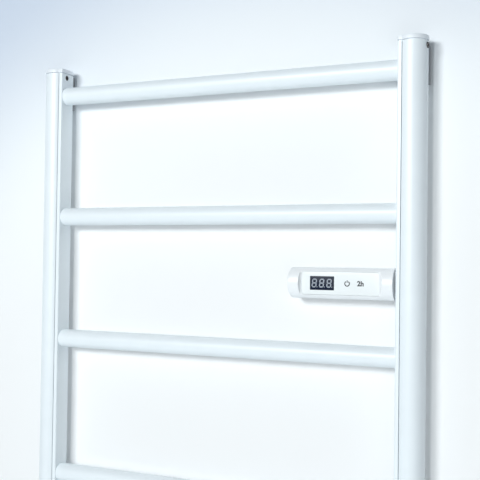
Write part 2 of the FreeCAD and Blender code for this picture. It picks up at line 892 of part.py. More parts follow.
def make_housing():
    shape = barrel()
    body = new_body("controller_housing")
    corner = D.unit_corner
    low = D.unit_centre - shape.half
    high = D.unit_centre + shape.half
    plan = sketch_on(body, "XZ_Plane", D.unit_back)
    draw_outline(plan, [
        (D.unit_left + corner, low, corner, D.unit_left + corner, low + corner),
        (D.unit_right, low),
        (D.unit_right, high),
        (D.unit_left + corner, high),
        (D.unit_left, high - corner, corner, D.unit_left + corner, high - corner),
        (D.unit_left, low + corner),
    ])
    pad(body, plan, D.unit_crown - D.unit_back)

    shoulder_y = -D.unit_crown + D.unit_sagitta
    outside_y = -D.unit_crown - OVERCUT
    crown = sketch_on(body, "YZ_Plane", D.unit_left - OVERCUT)
    centre = (shape.centre_y, D.unit_centre)
    draw_outline(crown, [
        (shoulder_y, low),
        (-D.unit_crown, D.unit_centre, shape.radius, *centre),
        (shoulder_y, high, shape.radius, *centre),
        (shoulder_y, high + OVERCUT),
        (outside_y, high + OVERCUT),
        (outside_y, low - OVERCUT),
        (shoulder_y, low - OVERCUT),
    ])
    pocket(body, crown, D.unit_right - D.unit_left + 2 * OVERCUT, reverse=True)

    recess = sketch_on(body, "XY_Plane")
    draw_outline(recess, [
        (D.fascia_left - RECESS_LEFT_MARGIN, shape.flat_y),
        (D.fascia_right + RECESS_RIGHT_MARGIN, shape.flat_y),
        (D.fascia_right + RECESS_RIGHT_MARGIN + RECESS_RIGHT_RAMP, outside_y),
        (D.fascia_left - RECESS_LEFT_MARGIN - RECESS_LEFT_RAMP, outside_y),
    ])
    pocket(body, recess)

    seat = sketch_on(body, "XZ_Plane", -shape.flat_y)
    fascia_half = D.fascia_height / 2
    fascia_zs = (D.unit_centre - fascia_half, D.unit_centre + fascia_half)
    draw_rectangle(seat, (D.fascia_left, D.fascia_right), fascia_zs)
    pocket(body, seat, D.fascia_thickness)

    opening = sketch_on(body, "XZ_Plane", -shape.flat_y)
    draw_rectangle(
        opening, (D.fascia_left + OPENING_MARGIN, D.fascia_right - OPENING_MARGIN),
        (D.unit_centre - OPENING_HALF, D.unit_centre + OPENING_HALF),
    )
    pocket(body, opening, OPENING_DEPTH)

    cavity_front = -shape.flat_y - D.fascia_thickness - FRONT_WALL
    cavity = sketch_on(body, "XZ_Plane", cavity_front)
    cavity_zs = (D.unit_centre - shape.half + HOUSING_WALL, D.unit_centre + shape.half - HOUSING_WALL)
    draw_rectangle(cavity, (D.unit_left + HOUSING_WALL, D.unit_right - HOUSING_WALL), cavity_zs)
    pocket(body, cavity, cavity_front - D.unit_back + OVERCUT)

    end_holes = sketch_on(body, "YZ_Plane", D.unit_right + OVERCUT)
    draw_circle(end_holes, LEAD_Y, D.unit_centre, D.lead_radius)
    for step in (-1, 1):
        draw_circle(end_holes, UNIT_SCREW_Y, D.unit_centre + step * UNIT_SCREW_STEP, D.rung_screw_radius)
    pocket(body, end_holes, HOUSING_WALL + 2 * OVERCUT)
    return body


def make_rear_cover():
    shape = barrel()
    gap = HOUSING_WALL + D.play
    return block(
        "controller_rear_cover", (D.unit_left + gap, D.unit_right - gap),
        (-D.unit_back, -D.unit_back - REAR_COVER_THICKNESS),
        (D.unit_centre - shape.half + gap, D.unit_centre + shape.half - gap),
    )


def make_fascia():
    shape = barrel()
    back_y = shape.flat_y + D.fascia_thickness
    fascia_half = D.fascia_height / 2
    lens_half = D.lens_height / 2
    plate = block(
        "fascia_plate", (D.fascia_left, D.fascia_right), (shape.flat_y, back_y),
        (D.unit_centre - fascia_half, D.unit_centre + fascia_half),
    )
    lens_xs = (D.lens_left, D.lens_left + D.lens_width)
    lens_zs = (D.unit_centre - lens_half, D.unit_centre + lens_half)
    window = block("fascia_window", lens_xs, (shape.flat_y - OVERCUT, back_y + OVERCUT), lens_zs)
    lens = block("display_lens", lens_xs, (shape.flat_y, back_y), lens_zs)
    return [cut("controller_fascia", plate, window), lens]


def make_electronics():
    """The circuit board and what stands on it, between the fascia and the rear cover."""
    mid = D.unit_centre
    fascia_back = barrel().flat_y + D.fascia_thickness
    rear = (PCB_BACK, COMPONENT_BACK)
    display_xs = (D.lens_left + DISPLAY_MARGIN, D.lens_left + D.lens_width - DISPLAY_MARGIN)
    board = block("control_pcb", BOARD_XS, (PCB_FRONT, PCB_BACK), (mid - BOARD_HALF, mid + BOARD_HALF))
    display = block(
        "display_module", display_xs, (PCB_FRONT, fascia_back), (mid - DISPLAY_HALF, mid + DISPLAY_HALF)
    )
    pads = [
        rod(f"touch_pad_{number}", KEY_RADIUS, "y", (PCB_FRONT, fascia_back), (as_size(x), mid))
        for number, x in enumerate(KEY_XS)
    ]
    relay = block("relay", RELAY_XS, rear, [mid - drop for drop in RELAY_DROPS])
    power = block("power_module", POWER_XS, rear, (mid - POWER_HALF, mid + POWER_HALF))
    connector_xs = (CONNECTOR_LEFT, CONNECTOR_RIGHT)
    connector_zs = (mid - CONNECTOR_HALF, mid + CONNECTOR_HALF)
    connector = block("lead_connector", connector_xs, rear, connector_zs)
    return [board, display, group("touch_pads", pads), relay, power, connector]


def make_gasket():
    """The rubber spacer between the controller and the upright."""
    zs = (D.unit_centre - GASKET_HALF, D.unit_centre + GASKET_HALF)
    slab = block("gasket_slab", (D.unit_right, D.clear_width / 2), GASKET_YS, zs)
    span = (D.unit_right - OVERCUT, D.clear_width / 2 + OVERCUT)
    tools = [rod("gasket_lead_hole", D.lead_radius, "x", span, (LEAD_Y, D.unit_centre))]
    for step in (-1, 1):
        centre = (UNIT_SCREW_Y, D.unit_centre + step * UNIT_SCREW_STEP)
        tools.append(rod(f"gasket_screw_hole_{step + 1}", D.rung_screw_radius, "x", span, centre))
    return cut("controller_gasket", slab, *tools)


# how far a screw's tip reaches past the inside of the housing's end wall
UNIT_SCREW_REACH = 2


def make_controller_screws():
    tip = D.unit_right - HOUSING_WALL - D.clear_width / 2 - UNIT_SCREW_REACH
    screws = [
        screw(f"unit_screw_{step + 1}", RIGHT, D.web, tip, UNIT_SCREW_Y,
              D.unit_centre + step * UNIT_SCREW_STEP)
        for step in (-1, 1)
    ]
    return group("controller_screws", screws)


# --- the whole rail ---------------------------------------------------------------------------------


def make_all():
    nodes = [make_channel(side) for side in (LEFT, RIGHT)]
    nodes += [make_cover(side) for side in (LEFT, RIGHT)]
    for maker in (make_cap, make_bracket, make_mounting_block, make_lock_screw):
        nodes += [maker(side, end) for end in (1, -1) for side in (LEFT, RIGHT)]
    nodes += [make_rung(number, height) for number, height in enumerate(RUNG_HEIGHTS, start=1)]
    nodes += [make_rung_screws(), make_grommets(), make_heating_cable()]
    nodes += make_wiring()
    nodes += [make_cable_gland()]
    nodes += make_earth()
    nodes += [make_housing(), make_rear_cover()]
    nodes += make_fascia()
    nodes += make_electronics()
    nodes += [make_gasket(), make_controller_screws()]
    doc.recompute()
    return nodes


def check(nodes):
    """Stop on a failed feature, or on a sub-part that isn't a valid solid."""
    for item in doc.Objects:
        if "Invalid" in item.State or "Error" in item.State:
            raise RuntimeError(f"{item.Name} failed: {item.State}")
    for node in nodes:
        if node.Shape.isNull() or not node.Shape.isValid() or not node.Shape.Solids:
            raise RuntimeError(f"{node.Label} has no valid solid")


def write(nodes):
    os.makedirs("parts", exist_ok=True)
    for node in nodes:
        node.Shape.exportStep(f"parts/{node.Label}.step")


ALL_NODES = make_all()
check(ALL_NODES)
write(ALL_NODES)
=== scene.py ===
import json
import math

import bmesh
import bpy
from mathutils import Matrix, Vector


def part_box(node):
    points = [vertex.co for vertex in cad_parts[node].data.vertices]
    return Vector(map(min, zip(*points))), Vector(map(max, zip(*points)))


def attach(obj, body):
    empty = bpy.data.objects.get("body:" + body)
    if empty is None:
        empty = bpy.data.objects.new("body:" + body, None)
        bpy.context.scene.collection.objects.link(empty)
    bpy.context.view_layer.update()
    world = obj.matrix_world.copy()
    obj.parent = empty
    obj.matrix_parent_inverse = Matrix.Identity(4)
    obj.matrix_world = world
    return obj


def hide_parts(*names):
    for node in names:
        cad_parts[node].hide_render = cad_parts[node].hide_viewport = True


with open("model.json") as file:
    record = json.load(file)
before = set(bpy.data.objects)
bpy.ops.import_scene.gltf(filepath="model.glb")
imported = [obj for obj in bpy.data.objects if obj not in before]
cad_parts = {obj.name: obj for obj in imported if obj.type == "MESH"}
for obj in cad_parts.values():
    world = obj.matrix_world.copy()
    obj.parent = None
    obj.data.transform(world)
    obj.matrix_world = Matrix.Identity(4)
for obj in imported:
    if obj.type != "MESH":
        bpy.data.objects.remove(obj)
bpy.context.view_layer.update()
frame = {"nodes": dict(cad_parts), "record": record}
MM = 0.001
LEFT, RIGHT = -1, 1


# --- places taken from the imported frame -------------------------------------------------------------

UNIT_LOW, UNIT_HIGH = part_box("controller_housing")
FASCIA_LOW, FASCIA_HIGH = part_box("controller_fascia")
LENS_LOW, LENS_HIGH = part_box("display_lens")
UNIT_MID_Z = (UNIT_LOW.z + UNIT_HIGH.z) / 2


# --- materials --------------------------------------------------------------------------------------

def new_material(name):
    """A material with an empty node tree, its output and its Principled shader."""
    material = bpy.data.materials.new(name)
    material.use_nodes = True
    nodes = material.node_tree.nodes
    nodes.clear()
    output = nodes.new("ShaderNodeOutputMaterial")
    shader = nodes.new("ShaderNodeBsdfPrincipled")
    material.node_tree.links.new(shader.outputs["BSDF"], output.inputs["Surface"])
    return material, shader


def add_node(material, kind, **inputs):
    node = material.node_tree.nodes.new(kind)
    for name, value in inputs.items():
        node.inputs[name.replace("_", " ")].default_value = value
    return node


def link(material, source, target):
    material.node_tree.links.new(source, target)


def object_noise(material, scale, detail=3.0, stretch=(1, 1, 1)):
    """Noise in the object's own metres: a scale of 1000 gives grains of about a millimetre."""
    place = material.node_tree.nodes.new("ShaderNodeTexCoord")
    mapping = material.node_tree.nodes.new("ShaderNodeMapping")
    mapping.inputs["Scale"].default_value = stretch
    noise = add_node(material, "ShaderNodeTexNoise", Scale=scale, Detail=detail)
    link(material, place.outputs["Object"], mapping.inputs["Vector"])
    link(material, mapping.outputs["Vector"], noise.inputs["Vector"])
    return noise


def varied_colour(material, shader, colour, spread, scale, stretch=(1, 1, 1)):
    """Base colour that drifts a little darker and lighter over the surface."""
    noise = object_noise(material, scale, stretch=stretch)
    ramp = material.node_tree.nodes.new("ShaderNodeValToRGB")
    ramp.color_ramp.elements[0].position = 0.3
    ramp.color_ramp.elements[1].position = 0.7
    ramp.color_ramp.elements[0].color = (*[c * (1 - spread) for c in colour], 1)
    ramp.color_ramp.elements[1].color = (*[min(1, c * (1 + spread)) for c in colour], 1)
    link(material, noise.outputs["Fac"], ramp.inputs["Fac"])
    link(material, ramp.outputs["Color"], shader.inputs["Base Color"])


def varied_roughness(material, shader, low, high, scale):
    noise = object_noise(material, scale)
    spread = material.node_tree.nodes.new("ShaderNodeMapRange")
    spread.inputs["To Min"].default_value = low
    spread.inputs["To Max"].default_value = high
    link(material, noise.outputs["Fac"], spread.inputs["Value"])
    link(material, spread.outputs["Result"], shader.inputs["Roughness"])


def fine_bump(material, shader, scale, depth_mm, strength=1.0, stretch=(1, 1, 1), detail=3.0):
    """Relief of a real depth; grain size is about one over scale, in metres."""
    noise = object_noise(material, scale, detail, stretch)
    bump = add_node(material, "ShaderNodeBump", Strength=strength, Distance=depth_mm * MM)
    link(material, noise.outputs["Fac"], bump.inputs["Height"])
    previous = shader.inputs["Normal"].links
    if previous:
        link(material, previous[0].from_socket, bump.inputs["Normal"])
    link(material, bump.outputs["Normal"], shader.inputs["Normal"])


def powder_coat():
    """Satin white powder coat: fine orange peel over a very slight slow waviness."""
    material, shader = new_material("powder_coat_satin")
    varied_colour(material, shader, (0.85, 0.912, 0.95), 0.012, 35)
    varied_roughness(material, shader, 0.34, 0.42, 260)
    shader.inputs["Specular IOR Level"].default_value = 0.5
    fine_bump(material, shader, 750, 0.012, 0.5)
    fine_bump(material, shader, 160, 0.02, 0.25)
    return material


def moulded(name, colour, roughness, grain_depth=0.006, spread=0.02, gloss=0.5):
    """Moulded plastic or rubber with a fine spark-eroded grain."""
    material, shader = new_material(name)
    varied_colour(material, shader, colour, spread, 60)
    varied_roughness(material, shader, roughness * 0.9, roughness * 1.1, 400)
    fine_bump(material, shader, 2200, grain_depth, 0.6)
    shader.inputs["Specular IOR Level"].default_value = gloss
    return material


def metal(name, colour, roughness, stretch):
    """Plated or cast metal with directional polishing marks."""
    material, shader = new_material(name)
    shader.inputs["Metallic"].default_value = 1.0
    varied_colour(material, shader, colour, 0.06, 180, stretch)
    varied_roughness(material, shader, roughness * 0.8, roughness * 1.25, 500)
    fine_bump(material, shader, 1500, 0.004, 0.6, stretch)
    return material


def striped_sheath():
    """Green sheath with a yellow stripe that winds round it, as on an earth wire."""
    material, shader = new_material("earth_sheath_striped")
    place = material.node_tree.nodes.new("ShaderNodeTexCoord")
    wave = add_node(material, "ShaderNodeTexWave", Scale=160.0, Distortion=0.0)
    wave.bands_direction = "DIAGONAL"
    ramp = material.node_tree.nodes.new("ShaderNodeValToRGB")
    ramp.color_ramp.interpolation = "CONSTANT"
    ramp.color_ramp.elements[0].color = (0.02, 0.20, 0.03, 1)
    ramp.color_ramp.elements[1].position = 0.6
    ramp.color_ramp.elements[1].color = (0.75, 0.62, 0.02, 1)
    link(material, place.outputs["Object"], wave.inputs["Vector"])
    link(material, wave.outputs["Fac"], ramp.inputs["Fac"])
    link(material, ramp.outputs["Color"], shader.inputs["Base Color"])
    varied_roughness(material, shader, 0.4, 0.5, 300)
    return material


def board():
    """Green circuit board with lighter copper tracks under the lacquer."""
    material, shader = new_material("circuit_board")
    place = material.node_tree.nodes.new("ShaderNodeTexCoord")
    bricks = material.node_tree.nodes.new("ShaderNodeTexBrick")
    bricks.inputs["Scale"].default_value = 220
    bricks.inputs["Color1"].default_value = (0.01, 0.12, 0.04, 1)
    bricks.inputs["Color2"].default_value = (0.015, 0.16, 0.05, 1)
    bricks.inputs["Mortar"].default_value = (0.04, 0.28, 0.10, 1)
    link(material, place.outputs["Object"], bricks.inputs["Vector"])
    link(material, bricks.outputs["Color"], shader.inputs["Base Color"])
    varied_roughness(material, shader, 0.22, 0.32, 300)
    return material


MATERIALS = {
    "powder_coat": powder_coat(),
    "cap_plastic": moulded("cap_plastic_satin", (0.845, 0.89, 0.935), 0.42),
    "unit_plastic": moulded("unit_plastic_white", (0.90, 0.925, 0.945), 0.34, 0.003, 0.01),
    "fascia_film": moulded("fascia_film_smooth", (0.86, 0.90, 0.91), 0.3, 0.0015, 0.006, 0.3),
    "lens_tint": moulded("lens_tint_dark", (0.006, 0.012, 0.032), 0.3, 0.0005, 0.05, 0.12),
    "led_block": moulded("led_block_black", (0.02, 0.02, 0.024), 0.5),
    "gasket_rubber": moulded("gasket_rubber_grey", (0.42, 0.44, 0.46), 0.6, 0.01),
    # zinc_steel is toned darker than bright plating: painted shade for the brackets in the dark gap
    # behind the uprights
    "zinc_steel": metal("zinc_plated_steel_shade_dark", (0.36, 0.37, 0.39), 0.38, (1, 1, 14)),
    "lock_steel": metal("black_oxide_steel", (0.115, 0.105, 0.105), 0.55, (1, 1, 1)),
    # block_alloy is toned darker than bare cast alloy: painted shade for the block seen inside the
    # screw holes
    "block_alloy": metal("die_cast_alloy_shade_dark", (0.34, 0.34, 0.35), 0.5, (1, 1, 1)),
    "cable_jacket": moulded("cable_jacket_white", (0.78, 0.80, 0.81), 0.45, 0.01),
    "heater_sheath": moulded("heater_sheath_silicone", (0.42, 0.06, 0.03), 0.5, 0.01, 0.05),
    "bush_nylon": moulded("bush_nylon_natural", (0.74, 0.73, 0.68), 0.4, 0.004, 0.04),
    "board_green": board(),
    "component_black": moulded("component_black_moulded", (0.018, 0.018, 0.02), 0.45),
    "relay_blue": moulded("relay_case_blue", (0.02, 0.06, 0.24), 0.35),
    "earth_brass": metal("earth_nut_brass", (0.72, 0.52, 0.22), 0.3, (1, 1, 1)),
    "earth_sheath": striped_sheath(),
}
SEGMENT_GREY = moulded("segment_grey_unlit", (0.34, 0.38, 0.44), 0.35, 0.002, 0.08)
ICON_GREY = moulded("icon_print_grey", (0.045, 0.05, 0.055), 0.5, 0.002, 0.1)


def dress_cad_nodes():
    """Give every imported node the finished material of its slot."""
    slots = {item["node"]: item["material_slot"] for item in frame["record"]["subparts"]}
    for name, item in frame["nodes"].items():
        item.data.materials.clear()
        item.data.materials.append(MATERIALS[slots[name]])


# --- mesh helpers -----------------------------------------------------------------------------------

def mesh_object(name, verts, faces, material, smooth_angle=35.0):
    """A closed mesh with consistent outward normals and smooth shading below an angle."""
    mesh = bpy.data.meshes.new(name)
    mesh.from_pydata(verts, [], faces)
    work = bmesh.new()
    work.from_mesh(mesh)
    bmesh.ops.remove_doubles(work, verts=work.verts, dist=1e-7)
    bmesh.ops.recalc_face_normals(work, faces=work.faces)
    work.to_mesh(mesh)
    work.free()
    mesh.materials.append(material)
    mesh.set_sharp_from_angle(angle=math.radians(smooth_angle))
    for face in mesh.polygons:
        face.use_smooth = True
    item = bpy.data.objects.new(name, mesh)
    bpy.context.scene.collection.objects.link(item)
    return item


def loft(name, rings, material, smooth_angle=35.0):
    """Skin closed rings of equal length in order, and close both ends."""
    count = len(rings[0])
    verts = [point for ring in rings for point in ring]
    faces = []
    for row in range(len(rings) - 1):
        for column in range(count):
            after = (column + 1) % count
            here, there = row * count, (row + 1) * count
            faces.append((here + column, here + after, there + after, there + column))
    faces.append(tuple(reversed(range(count))))
    last = (len(rings) - 1) * count
    faces.append(tuple(range(last, last + count)))
    return mesh_object(name, verts, faces, material, smooth_angle)


def finish_piece(item, body, slot, *replaced):
    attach(item, body)
    if replaced:
        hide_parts(*replaced)


def arc_points(centre, radius, start, stop, steps):
    """Points of an arc from one angle to another, in degrees, both ends included."""
    points = []
    for step in range(steps + 1):
        angle = math.radians(start + (stop - start) * step / steps)
        points.append((centre[0] + radius * math.cos(angle), centre[1] + radius * math.sin(angle)))
    return points


# --- end caps ---------------------------------------------------------------------------------------

CAP_HEIGHT = 5.5 * MM
CAP_OVERHANG = 0.8 * MM
CAP_SEAM = 0.75 * MM
CAP_BEVEL_START = 3.4 * MM
CAP_BEVEL_INSET = 0.35 * MM
CAP_EDGE = 0.4 * MM
# narrow neck inside the upright and lower lip of the overhang, as shares of overhang and seam
CAP_NECK_SHARE = 1.4
CAP_LIP_SHARE = 0.4
CAP_LIP_RISE = 1.6
FACE_CORNER = 2.4 * MM
FACE_CORNER_MIN = 0.1 * MM
FACE_HALF = 12.0 * MM
TUBE_RADIUS = 15.2 * MM


def section_outline(side, inset):
    """Outline of an upright's section, seen from above, moved inwards by an inset."""
    low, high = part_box("upper_right_cap")
    inner = low.x + CAP_OVERHANG
    axis_y = (low.y + high.y) / 2
    centre_x = high.x - CAP_OVERHANG - TUBE_RADIUS
    radius = TUBE_RADIUS - inset
    half = FACE_HALF - inset
    turn = math.degrees(math.asin(half / radius))
    corner = max(FACE_CORNER - CAP_OVERHANG - inset, FACE_CORNER_MIN)
    corner_x = inner + inset + corner
    corner_reach = half - corner
    points = arc_points((corner_x, axis_y + corner_reach), corner, 90, 180, 8)
    points += arc_points((corner_x, axis_y - corner_reach), corner, 180, 270, 8)
    points += arc_points((centre_x, axis_y), radius, turn - 180, 180 - turn, 72)
    return [(side * x, y) for x, y in points]


def cap_levels():
    """(inset, rise) pairs from the seam on the upright up to the cap's flat end."""
    neck = CAP_OVERHANG * CAP_NECK_SHARE
    lip = CAP_OVERHANG * CAP_LIP_SHARE
    levels = [(neck, 0), (neck, CAP_SEAM), (-lip, CAP_SEAM)]
    levels += [(-CAP_OVERHANG, CAP_SEAM * CAP_LIP_RISE), (-CAP_OVERHANG, CAP_BEVEL_START)]
    bevel_top = CAP_HEIGHT - CAP_EDGE
    levels.append((CAP_BEVEL_INSET - CAP_OVERHANG, bevel_top))
    for step in range(1, 7):
        angle = math.radians(15 * step)
        inset = CAP_BEVEL_INSET - CAP_OVERHANG + CAP_EDGE * (1 - math.cos(angle))
        levels.append((inset, bevel_top + CAP_EDGE * math.sin(angle)))
    return levels


def make_cap(side, end):
    """A moulded cap: narrow seam to the upright, small overhang, bevel and rounded outer edge."""
    name = f"{'upper' if end > 0 else 'lower'}_{'left' if side == LEFT else 'right'}_cap"
    low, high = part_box(name)
    outer_z = high.z if end > 0 else low.z
    seam_z = end * (abs(outer_z) - CAP_HEIGHT)
    rings = [
        [(x, y, seam_z + end * rise) for x, y in section_outline(side, inset)]
        for inset, rise in cap_levels()
    ]
    cap = loft(f"{name}_moulding", rings, MATERIALS["cap_plastic"], 25)
    finish_piece(cap, "rail", "cap_plastic", name)


# --- controller -------------------------------------------------------------------------------------

BARREL_SAGITTA = 9.0 * MM
UNIT_CORNER = 4.4 * MM
UNIT_EDGE = 1.2 * MM
RAMP_OUT = 1.5 * MM
FLAT_MARGIN = 1.2 * MM
RIGHT_MARGIN = 1.5 * MM
RIGHT_RAMP = 2.4 * MM
RECESS_BLEND = 0.5 * MM
REAR_EDGE = 0.6 * UNIT_EDGE
SECTION_STEPS = 44
STATION_FINE = 0.6 * MM
STATION_COARSE = 3 * MM
STATION_MARGIN = 1 * MM
SIDE_ROUND_SHARE = 0.5
HOUSING_WALL = 3 * MM
FRONT_WALL = 2 * MM
OPENING_HALF = 10.5 * MM
SEAM = 0.25 * MM
SEAT_CORNER = 2.2 * MM
FASCIA_CORNER = 2.0 * MM
FASCIA_EDGE = 0.3 * MM
LENS_CORNER = 0.5 * MM
LENS_RECESS = 0.15 * MM
LENS_EDGE = 0.1 * MM
PLATE_CORNER_MIN = 0.05 * MM
PLATE_EDGE_STEPS = 4
CUT_SMOOTH_ANGLE = 40
# edge round of a cutting tool, and how far it reaches past what it cuts
TOOL_EDGE = 0.05 * MM
OVERCUT = 1 * MM


def soft_max(a, b, radius):
    """The larger of two depths, rounded over where they cross."""
    blend = max(radius - abs(a - b), 0.0) / radius
    return max(a, b) + blend * blend * radius / 4


def barrel_depth(z, half, crown_y):
    radius = (half ** 2 + BARREL_SAGITTA ** 2) / (2 * BARREL_SAGITTA)
    return crown_y + radius - math.sqrt(max(radius ** 2 - z ** 2, 0))


def recess_depth(x, crown_y):
    """Depth of the shallow recess that the fascia lies in, with its two ramps."""
    flat_y = FASCIA_LOW.y
    left_foot = FASCIA_LOW.x - FLAT_MARGIN
    right_foot = FASCIA_HIGH.x + RIGHT_MARGIN
    depth = flat_y - crown_y
    if x < left_foot:
        return flat_y - (left_foot - x) / RAMP_OUT * depth
    if x > right_foot:
        return flat_y - (x - right_foot) / RIGHT_RAMP * depth
    return flat_y


def unit_section(x):
    """The controller's closed section at one X, as (y, z) points."""
    crown_y = UNIT_LOW.y
    half = (UNIT_HIGH.z - UNIT_LOW.z) / 2
    from_left = x - UNIT_LOW.x
    end_inset = edge_inset(from_left, UNIT_EDGE)
    corner_inset = edge_inset(from_left, UNIT_CORNER)
    reach = half - max(corner_inset, end_inset)
    shoulder_y = crown_y + BARREL_SAGITTA
    points = []
    for step in range(-SECTION_STEPS, SECTION_STEPS + 1):
        share = math.sin(math.pi / 2 * step / SECTION_STEPS)
        z = share * reach
        y = barrel_depth(z * half / reach, half, crown_y) + end_inset
        y = soft_max(y, recess_depth(x, crown_y), RECESS_BLEND)
        side_round = edge_inset((1 - abs(share)) * reach, UNIT_EDGE)
        points.append((min(y + side_round * SIDE_ROUND_SHARE, shoulder_y + UNIT_EDGE), z))
    rear = UNIT_HIGH.y - end_inset
    points += [(rear - REAR_EDGE, reach), (rear, reach - REAR_EDGE)]
    points += [(rear, REAR_EDGE - reach), (rear - REAR_EDGE, -reach)]
    return points


def edge_inset(distance, radius):
    """How far a quarter-round edge draws in at a distance from the end."""
    if distance >= radius:
        return 0.0
    return radius - math.sqrt(max(radius ** 2 - (radius - distance) ** 2, 0))


def unit_stations():
    """X stations along the controller, dense where the shape turns."""
    left, right = UNIT_LOW.x, UNIT_HIGH.x
    stations = [left + UNIT_EDGE * (1 - math.cos(math.radians(a))) for a in range(0, 90, 10)]
    stations += [left + UNIT_EDGE + (UNIT_CORNER - UNIT_EDGE) * step / 10 for step in range(11)]
    x = stations[-1]
    while x < right - STATION_FINE / 2:
        flat = FASCIA_LOW.x <= x <= FASCIA_HIGH.x - STATION_MARGIN
        x += STATION_COARSE if flat else STATION_FINE
        stations.append(min(x, right))
    return stations


def make_housing():
    rings = []
    for x in unit_stations():
        rings.append([(x, y, UNIT_MID_Z + z) for y, z in unit_section(x)])
    housing = loft("controller_shell", rings, MATERIALS["unit_plastic"], 40)
    cut_fascia_seat(housing)
    cut_inside(housing)
    finish_piece(housing, "rail", "unit_plastic", "controller_housing")


def rounded_rectangle(low, high, radius, steps=6):
    """Corners of a rounded rectangle in the XZ plane, from two (x, z) corners."""
    (x0, z0), (x1, z1) = low, high
    points = arc_points((x1 - radius, z1 - radius), radius, 0, 90, steps)
    points += arc_points((x0 + radius, z1 - radius), radius, 90, 180, steps)
    points += arc_points((x0 + radius, z0 + radius), radius, 180, 270, steps)
    points += arc_points((x1 - radius, z0 + radius), radius, 270, 360, steps)
    return points


def rounded_plate(name, low, high, radius, front_y, back_y, edge, material):
    """A plate with rounded corners and a small round along its front edge."""
    rings = [[(x, back_y, z) for x, z in rounded_rectangle(low, high, radius)]]
    for step in range(PLATE_EDGE_STEPS + 1):
        angle = math.radians(90 * step / PLATE_EDGE_STEPS)
        inset = edge * (1 - math.cos(angle))
        y = front_y + edge * (1 - math.sin(angle))
        inner_low = (low[0] + inset, low[1] + inset)
        inner_high = (high[0] - inset, high[1] - inset)
        outline = rounded_rectangle(inner_low, inner_high, max(radius - inset, PLATE_CORNER_MIN))
        rings.append([(x, y, z) for x, z in outline])
    return loft(name, rings, material, 40)


def subtract(item, tool):
    """Cut one closed mesh out of another and apply the result."""
    modifier = item.modifiers.new("cut", "BOOLEAN")
    modifier.operation = "DIFFERENCE"
    modifier.solver = "EXACT"
    modifier.object = tool
    bpy.context.view_layer.update()
    evaluated = item.evaluated_get(bpy.context.evaluated_depsgraph_get())
    result = bpy.data.meshes.new_from_object(evaluated)
    item.modifiers.clear()
    item.data = result
    result.set_sharp_from_angle(angle=math.radians(CUT_SMOOTH_ANGLE))
    bpy.data.objects.remove(tool)


def cut_fascia_seat(housing):
    """A pocket in the housing a hair wider than the fascia, so a fine seam shows round it."""
    low = (FASCIA_LOW.x - SEAM, FASCIA_LOW.z - SEAM)
    high = (FASCIA_HIGH.x + SEAM, FASCIA_HIGH.z + SEAM)
    tool = rounded_plate(
        "seat_tool", low, high, SEAT_CORNER, FASCIA_LOW.y - OVERCUT, FASCIA_HIGH.y, TOOL_EDGE,
        MATERIALS["unit_plastic"],
    )
    subtract(housing, tool)


def cut_inside(housing):
    """The hollow for the electronics, open at the back, and the window in its front wall."""
    corner = 2 * TOOL_EDGE
    low = (UNIT_LOW.x + HOUSING_WALL, UNIT_LOW.z + HOUSING_WALL)
    high = (UNIT_HIGH.x - HOUSING_WALL, UNIT_HIGH.z - HOUSING_WALL)
    hollow_front = FASCIA_HIGH.y + FRONT_WALL
    hollow = rounded_plate(
        "hollow_tool", low, high, corner, hollow_front, UNIT_HIGH.y + OVERCUT, TOOL_EDGE,
        MATERIALS["unit_plastic"],
    )
    subtract(housing, hollow)
    window_low = (FASCIA_LOW.x + HOUSING_WALL, UNIT_MID_Z - OPENING_HALF)
    window_high = (FASCIA_HIGH.x - HOUSING_WALL, UNIT_MID_Z + OPENING_HALF)
    window = rounded_plate(
        "front_wall_tool", window_low, window_high, corner, FASCIA_HIGH.y - OVERCUT / 2,
        hollow_front + OVERCUT, TOOL_EDGE, MATERIALS["unit_plastic"],
    )
    subtract(housing, window)


def make_fascia():
    """The smooth front plate with the window cut through it."""
    plate = rounded_plate(
        "controller_front_plate", (FASCIA_LOW.x, FASCIA_LOW.z), (FASCIA_HIGH.x, FASCIA_HIGH.z),
        FASCIA_CORNER, FASCIA_LOW.y, FASCIA_HIGH.y, FASCIA_EDGE, MATERIALS["fascia_film"],
    )
    tool = rounded_plate(
        "window_tool", (LENS_LOW.x, LENS_LOW.z), (LENS_HIGH.x, LENS_HIGH.z), LENS_CORNER,
        FASCIA_LOW.y - OVERCUT, FASCIA_HIGH.y + OVERCUT, TOOL_EDGE, MATERIALS["fascia_film"],
    )
    subtract(plate, tool)
    finish_piece(plate, "rail", "fascia_film", "controller_fascia")


def make_lens():
    lens = rounded_plate(
        "display_window", (LENS_LOW.x, LENS_LOW.z), (LENS_HIGH.x, LENS_HIGH.z), LENS_CORNER,
        LENS_LOW.y + LENS_RECESS, LENS_HIGH.y, LENS_EDGE, MATERIALS["lens_tint"],
    )
    finish_piece(lens, "rail", "lens_tint", "display_lens")


DIGIT_HEIGHT = 9.6 * MM
DIGIT_WIDTH = 5.6 * MM
DIGIT_PITCH = 8.5 * MM
STROKE = 1.25 * MM
SLANT = math.radians(6)
SEGMENT_GAP = 0.16 * MM
# the points after the digits take room, so the digits stand a little left of the middle
DIGIT_SHIFT = -0.4 * MM
# place and radius of a point, as shares of the stroke
POINT_PLACE = 1.15
POINT_SIZE = 0.42
DIGIT_FRONT = 0.10 * MM
DIGIT_BACK = 0.30 * MM


def segment_outline(start, stop):
    """A six-sided bar between two (x, z) points, with pointed ends."""
    start, stop = Vector(start), Vector(stop)
    along = (stop - start).normalized()
    across = Vector((-along.y, along.x)) * STROKE / 2
    start = start + along * SEGMENT_GAP
    stop = stop - along * SEGMENT_GAP
    shoulder = along * STROKE / 2
    return [
        start, start + shoulder + across, stop - shoulder + across,
        stop, stop - shoulder - across, start + shoulder - across,
    ]


